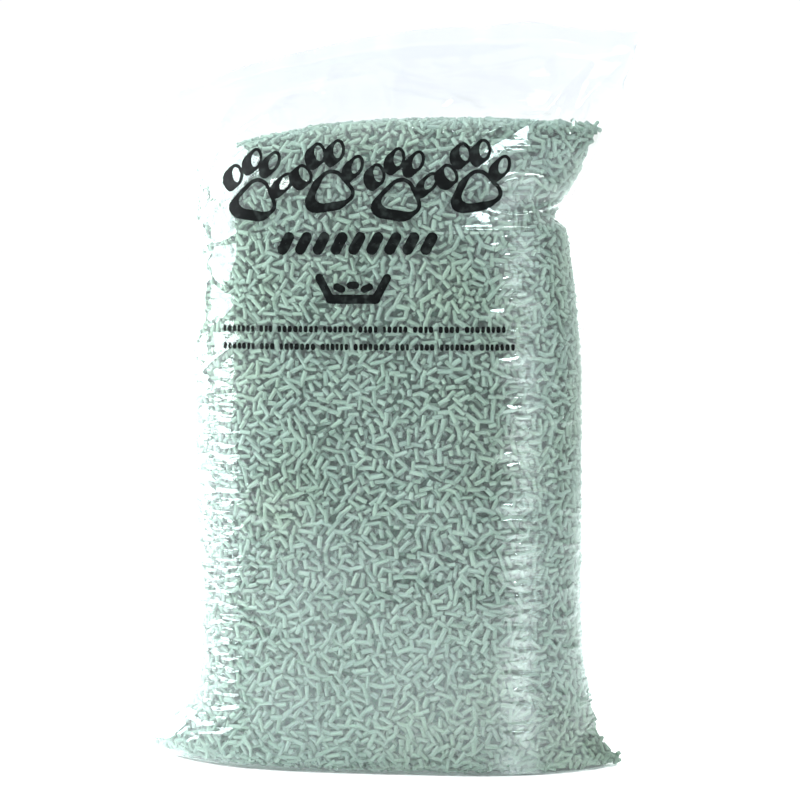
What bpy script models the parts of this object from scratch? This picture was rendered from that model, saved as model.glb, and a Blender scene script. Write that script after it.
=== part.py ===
"""Clear film sack of paper-pellet cat litter, standing on its filled base.

The sack is a lay-flat tube of film welded straight across both ends. It is lofted from level sections: flat with
pointed ends at the bottom corners, full and round-ended along the body, and flat again at the top weld. The litter
is one closed heap that follows the inside of the film, with room to spare above it.

Metres, +Z up. The front faces -Y, and the origin is under the middle of the bounding box, on the floor.
"""

import math
from typing import NamedTuple

import bmesh
import bpy
from mathutils import Vector

FILM = 0.0002  # thickness of the film
GAP = 0.0003  # room between the film and the litter
HALF_COLUMNS = 24  # faces along the front of a section, and again along its back
VENT_RADIUS = 0.0025
VENT_HEIGHT = 0.722  # middle of the vent, above the litter at the back
VENT_X = 0.06


class Station(NamedTuple):
    """One section of the tube, from its left end to its right end."""

    left_x: float
    left_z: float
    right_x: float
    right_z: float
    half_depth: float
    flatness: float  # how long the front stays flat before it turns round the end
    roundness: float  # 1 for a pointed end, 2 for a round one
    bow: float = 0.0  # how far the middle stands above the line between the ends


# Sizes are from the middle of the body. The bottom corners reach out as pointed ears, the right side has a deep
# fold with a full shoulder above it, and the top runs up to the right.
STATIONS = [
    Station(-0.2454, 0.0, 0.2621, 0.0, 0.082, 3.4, 1.05),
    Station(-0.2725, 0.009, 0.2735, 0.004, 0.093, 3.4, 1.05),
    Station(-0.2756, 0.018, 0.2683, 0.012, 0.098, 3.4, 1.1),
    Station(-0.2642, 0.032, 0.2558, 0.023, 0.102, 3.5, 1.2),
    Station(-0.2475, 0.045, 0.2444, 0.038, 0.104, 3.5, 1.4),
    Station(-0.2319, 0.062, 0.2361, 0.062, 0.106, 3.6, 1.65),
    Station(-0.2236, 0.090, 0.2288, 0.095, 0.108, 3.6, 1.85),
    Station(-0.2174, 0.135, 0.2236, 0.145, 0.110, 3.6, 2.0),
    Station(-0.2153, 0.200, 0.222, 0.205, 0.111, 3.6, 2.0),
    Station(-0.2163, 0.280, 0.2215, 0.280, 0.111, 3.6, 2.0),
    Station(-0.2174, 0.360, 0.221, 0.355, 0.110, 3.6, 2.0),
    Station(-0.2184, 0.440, 0.2205, 0.430, 0.109, 3.6, 2.0),
    Station(-0.2194, 0.515, 0.2163, 0.500, 0.108, 3.6, 2.0),
    Station(-0.2194, 0.575, 0.2101, 0.560, 0.106, 3.5, 2.0),
    Station(-0.2205, 0.610, 0.2049, 0.596, 0.104, 3.4, 2.0),
    Station(-0.2215, 0.632, 0.1924, 0.617, 0.102, 3.3, 1.9),
    Station(-0.2226, 0.648, 0.207, 0.638, 0.099, 3.2, 1.9),
    Station(-0.2246, 0.662, 0.2205, 0.664, 0.093, 3.1, 1.8),
    Station(-0.2267, 0.677, 0.235, 0.692, 0.083, 3.0, 1.7, 0.004),
    Station(-0.2288, 0.692, 0.240, 0.712, 0.069, 2.9, 1.6, 0.010),
    Station(-0.234, 0.706, 0.249, 0.732, 0.053, 2.9, 1.5, 0.018),
    Station(-0.2402, 0.718, 0.260, 0.754, 0.036, 2.8, 1.3, 0.025),
    Station(-0.2444, 0.728, 0.270, 0.776, 0.018, 2.8, 1.2, 0.031),
    Station(-0.2465, 0.737, 0.277, 0.797, FILM, 8.0, 2.0, 0.034),
    Station(-0.2454, 0.747, 0.283, 0.811, FILM, 8.0, 2.0, 0.036),
]
WELD = len(STATIONS) - 2  # the two layers are one from here up
FILL_TOP = 19  # the last station that the litter reaches
# The heap's top above that station: share of the section's size, and rise.
HEAP = [(0.82, 0.004), (0.5, 0.007), (0.2, 0.009)]

MIDDLE = (min(s.left_x for s in STATIONS) + max(s.right_x for s in STATIONS)) / 2


def half_outline(station, half_width, half_depth):
    """Points (x, y) along one side of a section, from left to right, evenly spaced along the curve."""
    fine = 40 * HALF_COLUMNS
    curve = []
    for i in range(fine + 1):
        across = -math.cos(math.pi * i / fine)
        rest = max(0.0, 1.0 - abs(across) ** station.flatness)
        curve.append((half_width * across, half_depth * rest ** (1.0 / station.roundness)))
    along = [0.0]
    for before, after in zip(curve, curve[1:]):
        along.append(along[-1] + math.dist(before, after))
    points = [curve[0]]
    at = 1
    for column in range(1, HALF_COLUMNS):
        wanted = along[-1] * column / HALF_COLUMNS
        while along[at] < wanted:
            at += 1
        share = (wanted - along[at - 1]) / (along[at] - along[at - 1])
        x = curve[at - 1][0] + share * (curve[at][0] - curve[at - 1][0])
        y = curve[at - 1][1] + share * (curve[at][1] - curve[at - 1][1])
        points.append((x, y))
    points.append(curve[-1])
    return points


def section(station, inset=0.0, scale=1.0, rise=0.0):
    """The closed ring of points of one section: along the front from left to right, and back along the rear.

    inset moves the ring inwards, and twice as far at the ends, where the two sides of the film run together.
    """
    half_width = ((station.right_x - station.left_x) / 2 - 2 * inset) * scale
    half_depth = (station.half_depth - inset) * scale
    centre = (station.right_x + station.left_x) / 2
    side = half_outline(station, half_width, half_depth)
    ring = [(x, -y) for x, y in side] + [(x, y) for x, y in reversed(side[1:-1])]
    placed = []
    for x, y in ring:
        across = (centre + x - station.left_x) / (station.right_x - station.left_x)
        z = station.left_z + across * (station.right_z - station.left_z)
        z += station.bow * (1 - (2 * across - 1) ** 2) + rise
        placed.append(Vector((centre + x - MIDDLE, y, z)))
    return placed


def add_ring(bm, points):
    return [bm.verts.new(point) for point in points]


def skin(bm, rings):
    """Joins rings of vertices, bottom to top, with triangles whose diagonals all run the same way."""
    for lower, upper in zip(rings, rings[1:]):
        for i in range(len(lower)):
            j = (i + 1) % len(lower)
            for corners in ((lower[i], lower[j], upper[j]), (lower[i], upper[j], upper[i])):
                if len(set(corners)) == 3:
                    bm.faces.new(corners)


def floor_cap(bm, ring):
    """Closes a ring from below."""
    bm.faces.new(list(reversed(ring)))


def seam(bm, station, inset):
    """The line where the front and the rear of the film meet, as a ring whose two sides share their vertices."""
    side = section(station, inset)[: HALF_COLUMNS + 1]
    line = add_ring(bm, [Vector((point.x, 0.0, point.z)) for point in side])
    return line + line[-2:0:-1]


def material(name, colour, roughness, alpha=1.0):
    made = bpy.data.materials.new(name)
    made.use_nodes = True
    shader = made.node_tree.nodes["Principled BSDF"]
    shader.inputs["Base Color"].default_value = (*colour, 1.0)
    shader.inputs["Roughness"].default_value = roughness
    shader.inputs["Metallic"].default_value = 0.0
    shader.inputs["Alpha"].default_value = alpha
    return made


def add_object(name, bm, finish, parent):
    mesh = bpy.data.meshes.new(name)
    bm.to_mesh(mesh)
    bm.free()
    mesh.shade_smooth()
    mesh.set_sharp_from_angle(angle=math.radians(50))
    mesh.materials.append(finish)
    made = bpy.data.objects.new(name, mesh)
    bpy.context.scene.collection.objects.link(made)
    made.parent = parent
    return made


def film_sack(parent):
    """The outside and the inside of the film, which meet in the two welds."""
    bm = bmesh.new()
    outside = [add_ring(bm, section(station)) for station in STATIONS]
    skin(bm, outside)
    floor_cap(bm, outside[0])
    bm.faces.new(outside[-1])
    outer_faces = len(bm.faces)
    inside = [add_ring(bm, section(STATIONS[0], FILM, rise=FILM))]
    inside += [add_ring(bm, section(station, FILM)) for station in STATIONS[1:WELD]]
    inside.append(seam(bm, STATIONS[WELD], 2 * FILM))
    skin(bm, inside)
    floor_cap(bm, inside[0])
    bm.faces.ensure_lookup_table()
    bmesh.ops.reverse_faces(bm, faces=bm.faces[outer_faces:])
    clear_film = material("clear film", (0.90, 0.93, 0.94), 0.12, alpha=0.25)
    return add_object("film_sack", bm, clear_film, parent)


def vent_cutter(parent):
    """A needle vent through the rear of the film, above the litter, that lets the sack breathe."""
    bm = bmesh.new()
    bmesh.ops.create_cone(
        bm, cap_ends=True, segments=16, radius1=VENT_RADIUS, radius2=VENT_RADIUS, depth=0.06
    )
    cutter = add_object("vent_cutter", bm, material("cutter", (1.0, 0.2, 0.2), 0.5), parent)
    cutter.rotation_euler.x = math.radians(90)
    cutter.location = (VENT_X, 0.06, VENT_HEIGHT)
    cutter.hide_render = True
    cutter.display_type = "WIRE"
    return cutter


def litter_fill(parent):
    """The heap of pellets: the inside of the film less a small gap, with a low crowned top."""
    bm = bmesh.new()
    inset = FILM + GAP
    rings = [add_ring(bm, section(STATIONS[0], inset, rise=inset))]
    rings += [add_ring(bm, section(station, inset)) for station in STATIONS[1 : FILL_TOP + 1]]
    rings += [add_ring(bm, section(STATIONS[FILL_TOP], inset, scale, rise)) for scale, rise in HEAP]
    skin(bm, rings)
    floor_cap(bm, rings[0])
    bm.faces.new(rings[-1])
    paper = material("paper pellets", (0.45, 0.56, 0.47), 0.9)
    return add_object("litter_fill", bm, paper, parent)


def main():
    for old in list(bpy.data.objects):
        bpy.data.objects.remove(old, do_unlink=True)
    bag = bpy.data.objects.new("litter_bag", None)
    bpy.context.scene.collection.objects.link(bag)
    sack = film_sack(bag)
    cut = sack.modifiers.new("vent", "BOOLEAN")
    cut.operation = "DIFFERENCE"
    cut.solver = "EXACT"
    cut.object = vent_cutter(bag)
    litter_fill(bag)


main()
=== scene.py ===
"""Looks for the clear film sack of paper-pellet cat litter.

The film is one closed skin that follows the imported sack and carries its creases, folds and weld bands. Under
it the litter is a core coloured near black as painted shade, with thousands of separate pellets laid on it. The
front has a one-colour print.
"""

import logging
import math
from dataclasses import dataclass, field
from enum import Enum

import bmesh
import bpy
import numpy as np
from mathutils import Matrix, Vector, noise
from mathutils.bvhtree import BVHTree


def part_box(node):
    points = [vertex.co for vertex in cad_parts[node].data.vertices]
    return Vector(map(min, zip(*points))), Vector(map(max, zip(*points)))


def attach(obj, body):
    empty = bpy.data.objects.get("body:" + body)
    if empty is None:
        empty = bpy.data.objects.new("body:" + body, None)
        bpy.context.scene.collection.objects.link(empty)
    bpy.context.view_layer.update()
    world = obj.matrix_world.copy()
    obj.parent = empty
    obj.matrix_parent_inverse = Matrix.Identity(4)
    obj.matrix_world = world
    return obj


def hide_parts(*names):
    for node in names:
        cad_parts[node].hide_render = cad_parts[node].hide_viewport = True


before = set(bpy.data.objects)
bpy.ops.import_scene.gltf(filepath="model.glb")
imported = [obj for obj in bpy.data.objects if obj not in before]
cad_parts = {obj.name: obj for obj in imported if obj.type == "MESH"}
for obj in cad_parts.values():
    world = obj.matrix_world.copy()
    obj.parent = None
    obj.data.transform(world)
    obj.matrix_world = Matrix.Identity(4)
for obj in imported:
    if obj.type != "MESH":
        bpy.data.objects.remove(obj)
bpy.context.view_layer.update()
SACK_LOW, SACK_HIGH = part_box("film_sack")

logging.basicConfig(level=logging.INFO, format="%(message)s")
log = logging.getLogger("litter_bag")

MM = 0.001


class Side(Enum):
    """The stretches of the sack's wall that a layer of pellets is made for."""

    FRONT = "front"
    RIGHT = "right"
    BACK = "back"
    LEFT = "left"
    TOP = "top"


# ------------------------------------------------------------------------------
# Node helpers
# ------------------------------------------------------------------------------


class Nodes:
    """Adds and joins nodes in one tree."""

    def __init__(self, tree: bpy.types.NodeTree) -> None:
        """Takes the tree to work in."""
        self.tree = tree

    def add(self, kind: str, **settings: object) -> bpy.types.Node:
        """Adds a node.

        Args:
            kind: the node's type name.
            settings: attributes to set on it.

        Returns:
            The new node.
        """
        node = self.tree.nodes.new(kind)
        for name, value in settings.items():
            setattr(node, name, value)
        return node

    def join(self, source: bpy.types.NodeSocket, target: bpy.types.NodeSocket) -> None:
        """Links an output to an input."""
        self.tree.links.new(source, target)

    def math(self, operation: str, first: object, second: object = 0.0,
             clamp: bool = False) -> bpy.types.NodeSocket:
        """Adds a Math node.

        Args:
            operation: the node's operation.
            first: a socket or a number.
            second: a socket or a number.
            clamp: whether the result is kept between 0 and 1.

        Returns:
            Its output.
        """
        node = self.add("ShaderNodeMath", operation=operation, use_clamp=clamp)
        for place, value in enumerate((first, second)):
            if isinstance(value, bpy.types.NodeSocket):
                self.join(value, node.inputs[place])
            else:
                node.inputs[place].default_value = value
        return node.outputs[0]

    def attribute(self, name: str) -> bpy.types.NodeSocket:
        """Reads one of the mesh's masks."""
        return self.add("ShaderNodeAttribute", attribute_name=name).outputs["Fac"]

    def dress(self, shader: bpy.types.Node) -> None:
        """Makes a shader the material's surface."""
        self.join(shader.outputs[0], self.add("ShaderNodeOutputMaterial").inputs["Surface"])

    def mixed(self, share: object, first: bpy.types.Node, second: bpy.types.Node) -> bpy.types.Node:
        """Mixes two shaders by a socket or a number."""
        node = self.add("ShaderNodeMixShader")
        if isinstance(share, bpy.types.NodeSocket):
            self.join(share, node.inputs[0])
        else:
            node.inputs[0].default_value = share
        self.join(first.outputs[0], node.inputs[1])
        self.join(second.outputs[0], node.inputs[2])
        return node

    def relief(self, height: bpy.types.NodeSocket, strength: float, depth: float) -> bpy.types.NodeSocket:
        """Turns a height into a bumped normal."""
        node = self.add("ShaderNodeBump")
        node.inputs["Strength"].default_value = strength
        node.inputs["Distance"].default_value = depth
        self.join(height, node.inputs["Height"])
        return node.outputs["Normal"]

    def noise(self, where: bpy.types.NodeSocket, scale: float, detail: float = 2.0) -> bpy.types.NodeSocket:
        """Adds a Noise Texture and returns its factor."""
        node = self.add("ShaderNodeTexNoise")
        node.inputs["Scale"].default_value = scale
        node.inputs["Detail"].default_value = detail
        self.join(where, node.inputs["Vector"])
        return node.outputs["Fac"]

    def between(self, value: bpy.types.NodeSocket, low: float, high: float, to_low: float = 0.0,
                to_high: float = 1.0) -> bpy.types.NodeSocket:
        """Maps low..high to to_low..to_high, with its ends held."""
        node = self.add("ShaderNodeMapRange", clamp=True)
        self.join(value, node.inputs["Value"])
        for name, number in (("From Min", low), ("From Max", high), ("To Min", to_low), ("To Max", to_high)):
            node.inputs[name].default_value = number
        return node.outputs["Result"]

    def blend(self, share: bpy.types.NodeSocket, first: object, second: object) -> bpy.types.NodeSocket:
        """Mixes two colours, each a socket or red, green and blue."""
        node = self.add("ShaderNodeMix", data_type="RGBA")
        self.join(share, node.inputs[0])
        for place, value in ((6, first), (7, second)):
            if isinstance(value, bpy.types.NodeSocket):
                self.join(value, node.inputs[place])
            else:
                node.inputs[place].default_value = (*value, 1.0)
        return node.outputs[2]


def new_material(name: str) -> tuple[bpy.types.Material, Nodes]:
    """Makes an empty node material and the helper for its tree."""
    made = bpy.data.materials.new(name)
    made.use_nodes = True
    made.node_tree.nodes.clear()
    return made, Nodes(made.node_tree)


def fibre_grain_group() -> bpy.types.NodeTree:
    """Builds the group for pressed paper, shared by the pellets and the core behind them.

    Returns:
        A shader group that takes Vector and Scale, and gives Speckle, a mask, and Height.
    """
    group = bpy.data.node_groups.new("fibre grain", "ShaderNodeTree")
    group.interface.new_socket("Vector", in_out="INPUT", socket_type="NodeSocketVector")
    group.interface.new_socket("Scale", in_out="INPUT", socket_type="NodeSocketFloat")
    group.interface.new_socket("Speckle", in_out="OUTPUT", socket_type="NodeSocketFloat")
    group.interface.new_socket("Height", in_out="OUTPUT", socket_type="NodeSocketFloat")
    nodes = Nodes(group)
    entry = nodes.add("NodeGroupInput")
    leave = nodes.add("NodeGroupOutput")
    coarse = nodes.add("ShaderNodeTexNoise")
    coarse.inputs["Detail"].default_value = 4.0
    coarse.inputs["Roughness"].default_value = 0.7
    nodes.join(entry.outputs["Vector"], coarse.inputs["Vector"])
    nodes.join(entry.outputs["Scale"], coarse.inputs["Scale"])
    flakes = nodes.add("ShaderNodeTexVoronoi")
    nodes.join(entry.outputs["Vector"], flakes.inputs["Vector"])
    nodes.join(nodes.math("MULTIPLY", entry.outputs["Scale"], 1.7), flakes.inputs["Scale"])
    nodes.join(nodes.between(coarse.outputs["Fac"], 0.42, 0.62), leave.inputs["Speckle"])
    flaky = nodes.math("MULTIPLY", flakes.outputs["Distance"], 0.5)
    nodes.join(nodes.math("ADD", coarse.outputs["Fac"], flaky), leave.inputs["Height"])
    return group


# ------------------------------------------------------------------------------
# Finishes
# ------------------------------------------------------------------------------


@dataclass(frozen=True)
class ClearFilm:
    """Glossy clear polyethylene: it mirrors more at a slant, and has a faint milky haze in drifts."""

    ior: float = 1.5
    faces: float = 1.45  # both faces of the film mirror
    roughness: float = 0.06
    veil_roughness: float = 0.40  # a softer gloss mixed with the sharp one
    veil_share: float = 0.33
    gloss_tint: tuple[float, float, float] = (0.86, 0.97, 0.94)
    body_tint: tuple[float, float, float] = (0.975, 0.992, 0.985)
    milk: tuple[float, float, float] = (0.36, 0.38, 0.42)
    haze_low: float = 0.004
    haze_high: float = 0.035
    taut_gain: float = 2.9  # where the film is drawn round the sides
    taut_patch: float = 0.35  # the least of that gain, between its patches
    crinkle_share: float = 0.35
    pucker_scale: tuple[float, float, float] = (26.0, 26.0, 105.0)
    pucker_height: float = 4.0
    relief_strength: float = 0.35
    relief_depth: float = 0.0009
    # Painted shade: the grey that the headspace film is tinted at its grazing edges.
    edge_shade_tint: tuple[float, float, float] = (0.70, 0.75, 0.78)
    empty_tint: tuple[float, float, float] = (0.935, 0.95, 0.97)
    empty_haze: float = 0.15  # above the litter, where the film hangs slack
    empty_gloss: float = 0.4  # the gloss there, as a share of the rest
    inner_gloss: float = 0.1  # the gloss of the film's inner face
    empty_from: float = 0.697
    empty_to: float = 0.747
    empty_lean: float = 0.055  # the litter's top rises this much for each metre to the right

    def make(self) -> bpy.types.Material:
        """Builds the material.

        Returns:
            The material, clear or milky under a gloss that grows at a slant.
        """
        made, nodes = new_material("clear_film")
        place = nodes.add("ShaderNodeTexCoord").outputs["Object"]
        normal = nodes.relief(self.creasing(nodes, place), self.relief_strength, self.relief_depth)
        empty = self.emptiness(nodes, place)
        shine = nodes.mixed(self.veil_share, self.gloss(nodes, self.roughness, normal),
                            self.gloss(nodes, self.veil_roughness, normal))
        share = self.mirroring(nodes, place, normal, empty)
        nodes.dress(nodes.mixed(share, self.body(nodes, place, empty), shine))
        return made

    def creasing(self, nodes: Nodes, place: bpy.types.NodeSocket) -> bpy.types.NodeSocket:
        """The height of the fine crinkles, and of the tucks where the film puckers."""
        crinkle = nodes.math("MULTIPLY", nodes.noise(place, 240.0, 3.0), self.crinkle_share)
        height = nodes.math("ADD", crinkle, nodes.noise(place, 95.0, 1.0))
        stretch = nodes.add("ShaderNodeVectorMath", operation="MULTIPLY")
        stretch.inputs[1].default_value = self.pucker_scale
        nodes.join(place, stretch.inputs[0])
        ridges = nodes.math("SUBTRACT", nodes.noise(stretch.outputs[0], 1.0, 1.5), 0.5)
        ridges = nodes.between(nodes.math("ABSOLUTE", ridges), 0.0, 0.16, 1.0, 0.0)
        tucks = nodes.math("MULTIPLY", ridges, self.pucker_height)
        return nodes.math("ADD", height, nodes.math("MULTIPLY", tucks, nodes.attribute("pucker")))

    def emptiness(self, nodes: Nodes, place: bpy.types.NodeSocket) -> bpy.types.NodeSocket:
        """1 in the headspace and the welds, and 0 where litter lies behind the film."""
        apart = nodes.add("ShaderNodeSeparateXYZ")
        nodes.join(place, apart.inputs[0])
        lean = nodes.math("MULTIPLY", apart.outputs["X"], self.empty_lean)
        level = nodes.math("SUBTRACT", apart.outputs["Z"], lean)
        above = nodes.between(level, self.empty_from, self.empty_to)
        return nodes.math("MAXIMUM", above, nodes.attribute("weld"))

    def body(self, nodes: Nodes, place: bpy.types.NodeSocket, empty: bpy.types.NodeSocket) -> bpy.types.Node:
        """The film itself: tinted and clear, with a little milky haze, and greyed by painted shade at its
        grazing edges in the headspace.

        Args:
            nodes: the material's nodes.
            place: places on the film.
            empty: the mask of the headspace and the welds.

        Returns:
            The mixed shader.
        """
        drift = nodes.between(nodes.noise(place, 9.0, 3.0), 0.38, 0.66, self.haze_low, self.haze_high)
        haze = nodes.math("ADD", drift, nodes.math("MULTIPLY", empty, self.empty_haze), clamp=True)
        # Painted shade: the headspace film's clear colour is greyed towards its grazing edges.
        edge = nodes.add("ShaderNodeLayerWeight")
        edge.inputs["Blend"].default_value = 0.35
        rim = nodes.math("MULTIPLY", nodes.between(edge.outputs["Facing"], 0.55, 1.0), empty)
        tint = nodes.blend(empty, self.body_tint, self.empty_tint)
        clear = nodes.add("ShaderNodeBsdfTransparent")
        nodes.join(nodes.blend(rim, tint, self.edge_shade_tint), clear.inputs["Color"])
        milk = nodes.add("ShaderNodeBsdfDiffuse")
        milk.inputs["Color"].default_value = (*self.milk, 1.0)
        return nodes.mixed(haze, clear, milk)

    def gloss(self, nodes: Nodes, roughness: float, normal: bpy.types.NodeSocket) -> bpy.types.Node:
        """One of the film's two glosses."""
        node = nodes.add("ShaderNodeBsdfGlossy")
        node.inputs["Roughness"].default_value = roughness
        node.inputs["Color"].default_value = (*self.gloss_tint, 1.0)
        nodes.join(normal, node.inputs["Normal"])
        return node

    def mirroring(self, nodes: Nodes, place: bpy.types.NodeSocket, normal: bpy.types.NodeSocket,
                  empty: bpy.types.NodeSocket) -> bpy.types.NodeSocket:
        """How much the film mirrors: more at a slant and where it is taut, and less where it is slack.

        Args:
            nodes: the material's nodes.
            place: places on the film.
            normal: the creased normal.
            empty: the mask of the headspace and the welds.

        Returns:
            The share of gloss.
        """
        slant = nodes.add("ShaderNodeFresnel")
        slant.inputs["IOR"].default_value = self.ior
        nodes.join(normal, slant.inputs["Normal"])
        gain = nodes.between(empty, 0.0, 1.0, self.faces, self.faces * self.empty_gloss)
        inner = nodes.add("ShaderNodeNewGeometry").outputs["Backfacing"]
        gain = nodes.math("MULTIPLY", gain, nodes.between(inner, 0.0, 1.0, 1.0, self.inner_gloss))
        patches = nodes.between(nodes.noise(place, 24.0, 2.0), 0.38, 0.55, self.taut_patch, 1.0)
        taut = nodes.math("MULTIPLY", nodes.attribute("taut"), patches)
        gain = nodes.math("MULTIPLY", gain, nodes.between(taut, 0.0, 1.0, 1.0, self.taut_gain))
        return nodes.math("MULTIPLY", slant.outputs[0], gain, clamp=True)


@dataclass(frozen=True)
class PaperPellet:
    """Matt pressed paper in pale sage, each pellet a little lighter, darker or bluer than the next, with
    painted shade that darkens the deeper pellets and those towards the base.
    """

    light: tuple[float, float, float] = (0.112, 0.172, 0.133)
    dark: tuple[float, float, float] = (0.022, 0.060, 0.040)
    cool: tuple[float, float, float] = (0.094, 0.140, 0.130)
    ripe: tuple[float, float, float] = (0.098, 0.148, 0.092)  # yellower drifts
    fleck: tuple[float, float, float] = (0.20, 0.27, 0.225)
    cool_share: float = 0.45
    ripe_share: float = 0.55
    fleck_share: float = 0.28
    grain: float = 900.0
    relief_strength: float = 0.6
    relief_depth: float = 0.0004
    roughness: float = 0.92
    painted_base_shade: float = 0.22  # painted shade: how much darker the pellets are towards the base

    def make(self, fibre: bpy.types.NodeTree) -> bpy.types.Material:
        """Builds the material.

        Args:
            fibre: the fibre grain group.

        Returns:
            The material.
        """
        made, nodes = new_material("paper_pellet")
        place = nodes.add("ShaderNodeTexCoord").outputs["Object"]
        grain = nodes.add("ShaderNodeGroup", node_tree=fibre)
        grain.inputs["Scale"].default_value = self.grain
        nodes.join(place, grain.inputs["Vector"])
        # Each pellet's tone is random, and the deeper layer's range is darker, as painted shade.
        colour = nodes.blend(nodes.attribute("tone_and_depth_shade"), self.dark, self.light)
        cooler = nodes.math("MULTIPLY", nodes.attribute("hue"), self.cool_share)
        colour = nodes.blend(cooler, colour, self.cool)
        drift = nodes.between(nodes.noise(place, 6.5, 2.0), 0.50, 0.72, 0.0, self.ripe_share)
        colour = nodes.blend(drift, colour, self.ripe)
        flecks = nodes.math("MULTIPLY", grain.outputs["Speckle"], self.fleck_share)
        colour = nodes.blend(flecks, colour, self.fleck)
        # Painted shade: the pellets are blended towards the dark colour towards the base.
        height = nodes.add("ShaderNodeSeparateXYZ")
        nodes.join(place, height.inputs[0])
        low = nodes.between(height.outputs["Z"], 0.06, 0.38, self.painted_base_shade, 0.0)
        colour = nodes.blend(low, colour, self.dark)
        shader = nodes.add("ShaderNodeBsdfPrincipled")
        shader.inputs["Roughness"].default_value = self.roughness
        nodes.join(colour, shader.inputs["Base Color"])
        normal = nodes.relief(grain.outputs["Height"], self.relief_strength, self.relief_depth)
        nodes.join(normal, shader.inputs["Normal"])
        nodes.dress(shader)
        return made


@dataclass(frozen=True)
class PaintedShadeLitter:
    """Painted shade: the litter behind the outer pellets, coloured near black so that it shows as dark gaps
    between them.
    """

    # Painted shade: near-black greens that stand for the shade behind the outer pellets.
    low: tuple[float, float, float] = (0.008, 0.035, 0.022)
    high: tuple[float, float, float] = (0.03, 0.09, 0.06)
    grain: float = 160.0
    roughness: float = 0.95

    def make(self, fibre: bpy.types.NodeTree) -> bpy.types.Material:
        """Builds the material.

        Args:
            fibre: the fibre grain group.

        Returns:
            The material.
        """
        made, nodes = new_material("painted_shade_litter")
        place = nodes.add("ShaderNodeTexCoord").outputs["Object"]
        grain = nodes.add("ShaderNodeGroup", node_tree=fibre)
        grain.inputs["Scale"].default_value = self.grain
        nodes.join(place, grain.inputs["Vector"])
        shader = nodes.add("ShaderNodeBsdfPrincipled")
        shader.inputs["Roughness"].default_value = self.roughness
        nodes.join(nodes.blend(grain.outputs["Speckle"], self.low, self.high), shader.inputs["Base Color"])
        nodes.dress(shader)
        return made


@dataclass(frozen=True)
class BlackInk:
    """Flexible printing ink: near black, thin in places, with the gloss of the film."""

    dense: tuple[float, float, float] = (0.002, 0.0025, 0.0025)
    thin: tuple[float, float, float] = (0.010, 0.013, 0.012)
    specular: float = 0.03

    def make(self) -> bpy.types.Material:
        """Builds the material.

        Returns:
            The material.
        """
        made, nodes = new_material("black_ink")
        place = nodes.add("ShaderNodeTexCoord").outputs["Object"]
        wear = nodes.between(nodes.noise(place, 130.0, 4.0), 0.5, 0.72)
        shader = nodes.add("ShaderNodeBsdfPrincipled")
        nodes.join(nodes.blend(wear, self.dense, self.thin), shader.inputs["Base Color"])
        shader.inputs["Specular IOR Level"].default_value = self.specular
        nodes.join(nodes.between(wear, 0.0, 1.0, 0.35, 0.55), shader.inputs["Roughness"])
        nodes.dress(shader)
        return made


@dataclass(frozen=True)
class StudioFloor:
    """Plain pale floor paper."""

    colour: tuple[float, float, float] = (0.985, 0.985, 0.985)
    roughness: float = 0.95

    def make(self) -> bpy.types.Material:
        """Builds the material.

        Returns:
            The material.
        """
        made, nodes = new_material("floor_paper")
        shader = nodes.add("ShaderNodeBsdfPrincipled")
        shader.inputs["Base Color"].default_value = (*self.colour, 1.0)
        shader.inputs["Roughness"].default_value = self.roughness
        nodes.dress(shader)
        return made


# ------------------------------------------------------------------------------
# The tube of film
# ------------------------------------------------------------------------------


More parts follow.
